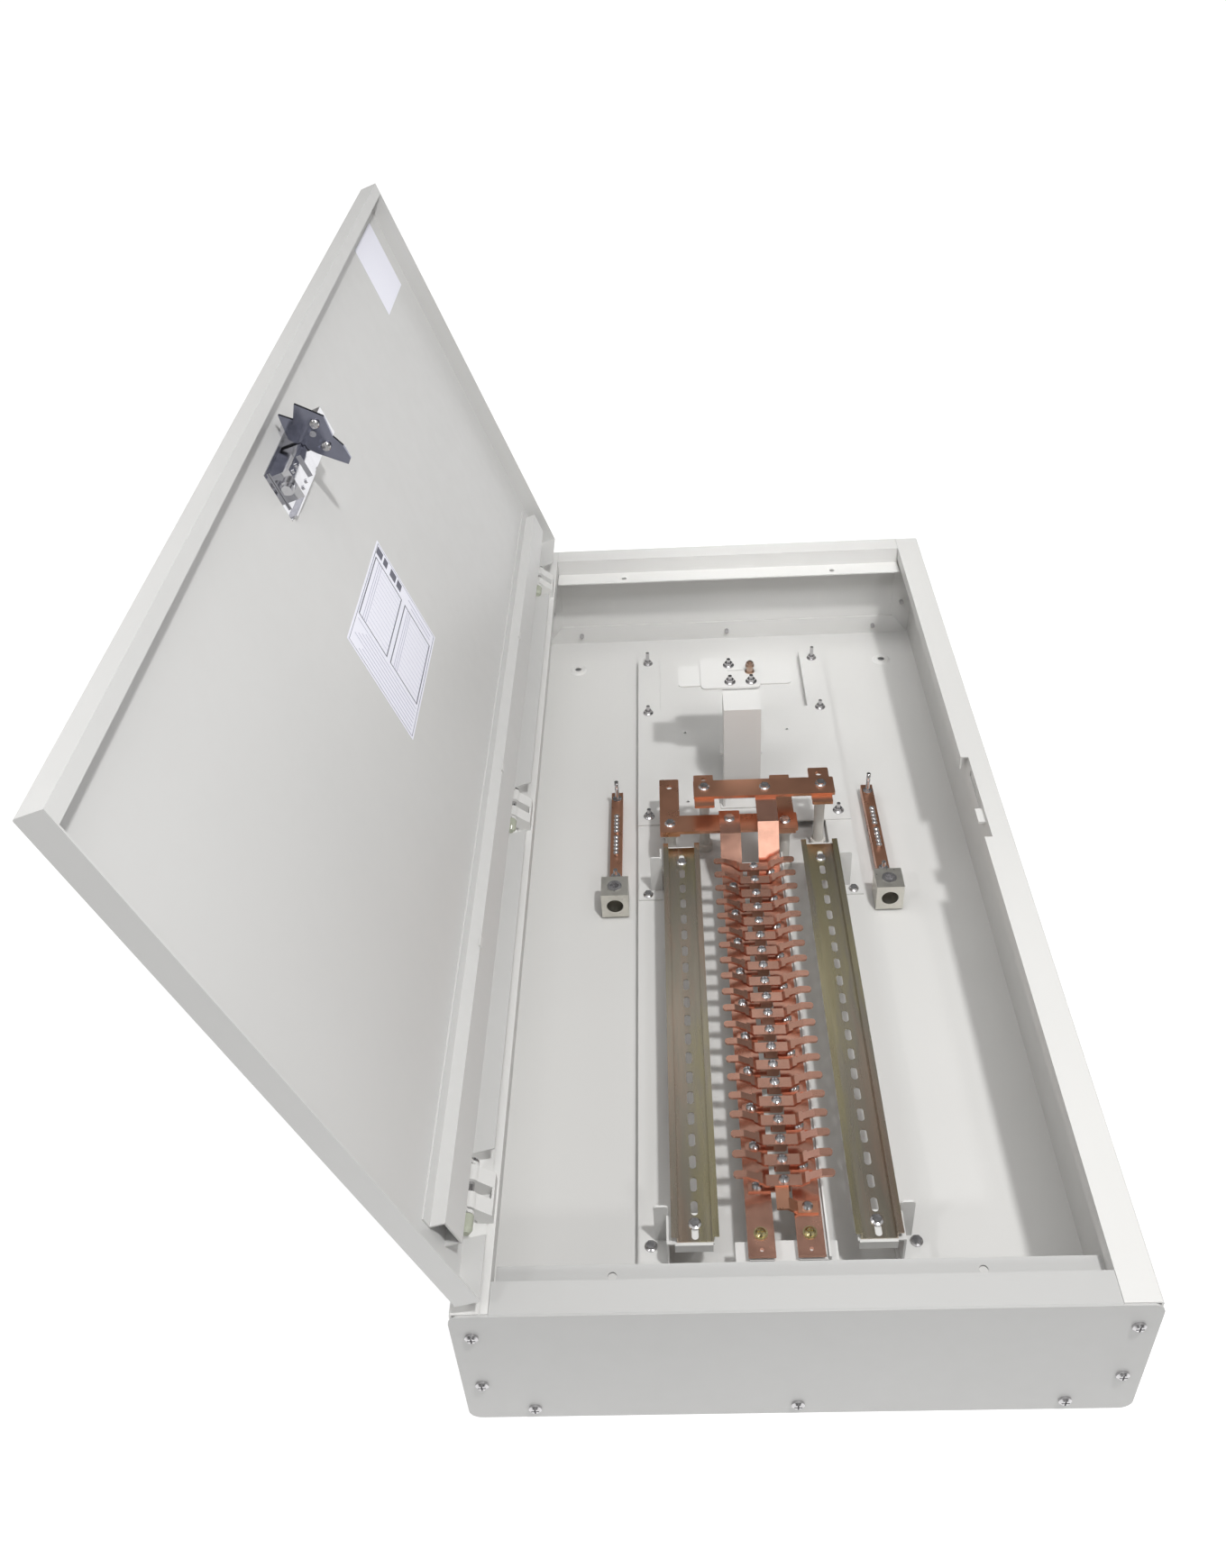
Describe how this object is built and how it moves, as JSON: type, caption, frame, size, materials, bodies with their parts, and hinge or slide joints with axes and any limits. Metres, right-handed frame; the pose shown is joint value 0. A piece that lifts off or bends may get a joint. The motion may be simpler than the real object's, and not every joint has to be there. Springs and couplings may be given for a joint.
{
  "type": "residential load center",
  "caption": "Surface-mount residential load centre with a hinged door, copper bus assembly, mounting rails and neutral bars.",
  "frame": {"origin": "centre of the back's outer face", "axes": "+X towards the door's free side, +Y towards the head (line) end, +Z out of the back towards the door"},
  "size_m": [0.5928, 0.969, 0.5641],
  "materials": {
    "paint": "satin light grey powder coat",
    "copper": "bare copper, lightly polished",
    "chromate": "yellow chromate over zinc",
    "zinc": "bright zinc",
    "tin": "tin plate",
    "diecast": "chromed die casting",
    "insulator": "moulded insulator"
  },
  "bodies": {
    "enclosure": {"base_plate_nuts": "zinc", "branch_strap_01": "copper", "branch_strap_02": "copper", "branch_strap_03": "copper", "branch_strap_04": "copper", "branch_strap_05": "copper", "branch_strap_06": "copper", "branch_strap_07": "copper", "branch_strap_08": "copper", "branch_strap_09": "copper", "branch_strap_10": "copper", "branch_strap_11": "copper", "branch_strap_12": "copper", "branch_strap_13": "copper", "branch_strap_14": "copper", "branch_strap_15": "copper", "branch_strap_16": "copper", "branch_strap_17": "copper", "branch_strap_18": "copper", "branch_strap_19": "copper", "branch_strap_20": "copper", "breaker_bridge": "paint", "bridge_ear_strip": "paint", "bridge_fasteners": "zinc", "bridge_standoff": "zinc", "bridge_top_plate": "paint", "bus_end_link": "copper", "bus_screws": "zinc", "bus_support": "paint", "din_rail_left": "chromate", "din_rail_right": "chromate", "enclosure_wrap": "paint", "end_plate_foot": "paint", "end_plate_head": "paint", "end_plate_screws": "zinc", "hinge_brackets": "paint", "hinge_pins": "zinc", "latch_strike": "paint", "left_main_bus": "copper", "line_bolts": "zinc", "line_standoffs": "insulator", "line_tabs_lower": "copper", "line_tabs_upper": "copper", "lower_base_plate": "paint", "lower_crossbar": "copper", "neutral_bar_left": "copper", "neutral_bar_right": "copper", "neutral_lugs": "tin", "neutral_screws": "zinc", "rail_bolts": "zinc", "rail_brackets": "paint", "right_main_bus": "copper", "upper_base_plate": "paint", "upper_crossbar": "copper"},
    "door": {"door_panel": "paint", "door_stiffener": "paint", "hinge_leaves": "paint", "lock_body": "diecast"},
    "claw": {"latch_hook": "diecast"},
    "handle": {"lock_handle": "diecast"}
  },
  "joints": [
    {"name": "door_hinge", "type": "hinge", "parent": "enclosure", "child": "door", "pos_m": [-0.217, 0, 0.147], "axis": [0, 1, 0], "range_deg": [0, 109.6]},
    {"name": "claw_pivot", "type": "hinge", "parent": "door", "child": "claw", "pos_m": [-0.32649, -0.022, 0.52306], "axis": [0, 1, 0], "range_deg": [0, 14]},
    {"name": "handle_pivot", "type": "hinge", "parent": "door", "child": "handle", "pos_m": [-0.3523, -0.032, 0.51684], "axis": [0, 1, 0], "range_deg": [0, 14]}
  ],
  "couplings": [
    {"joint": "claw_pivot", "follows": "handle_pivot", "ratio": 1}
  ]
}
